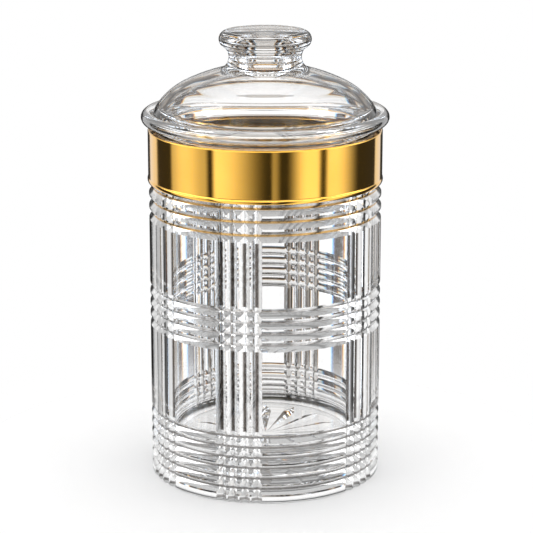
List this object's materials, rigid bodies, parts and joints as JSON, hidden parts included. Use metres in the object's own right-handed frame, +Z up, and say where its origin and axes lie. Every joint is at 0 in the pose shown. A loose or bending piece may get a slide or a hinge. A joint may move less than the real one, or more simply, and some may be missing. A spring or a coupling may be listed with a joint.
{
  "type": "storage canister",
  "caption": "Upright cut-glass storage canister with a plaid of mitre cuts, a gilt brass collar round its neck and a domed plug-in lid with a spool-shaped knob.",
  "frame": {"origin": "middle of the foot ring, on the surface the canister stands on", "axes": "+Z up along the canister's own axis, -Y towards the side that the picture shows"},
  "size_m": [0.121, 0.121, 0.2213],
  "materials": {
    "cut_glass": "polished clear lead-free crystal with bright mitre cuts",
    "gilt_brass": "mirror-polished gold plate",
    "gold_resin": "cured adhesive with gold pigment, seen through the glass neck",
    "lid_glass": "fire-polished clear glass",
    "amber_silicone": "amber soft silicone"
  },
  "bodies": {
    "canister": {"jar": "cut_glass", "collar": "gilt_brass", "collar_bond": "gold_resin"},
    "seal": {"lid_seal": "amber_silicone"},
    "lid": {"lid": "lid_glass"}
  },
  "joints": [
    {"name": "lid_lift", "type": "slide", "parent": "canister", "child": "seal", "axis": [0, 0, 1], "range_m": [0, 0.06]},
    {"name": "lid_turn", "type": "hinge", "parent": "seal", "child": "lid", "pos_m": [0, 0, 0.17], "axis": [0, 0, 1], "continuous": true}
  ]
}
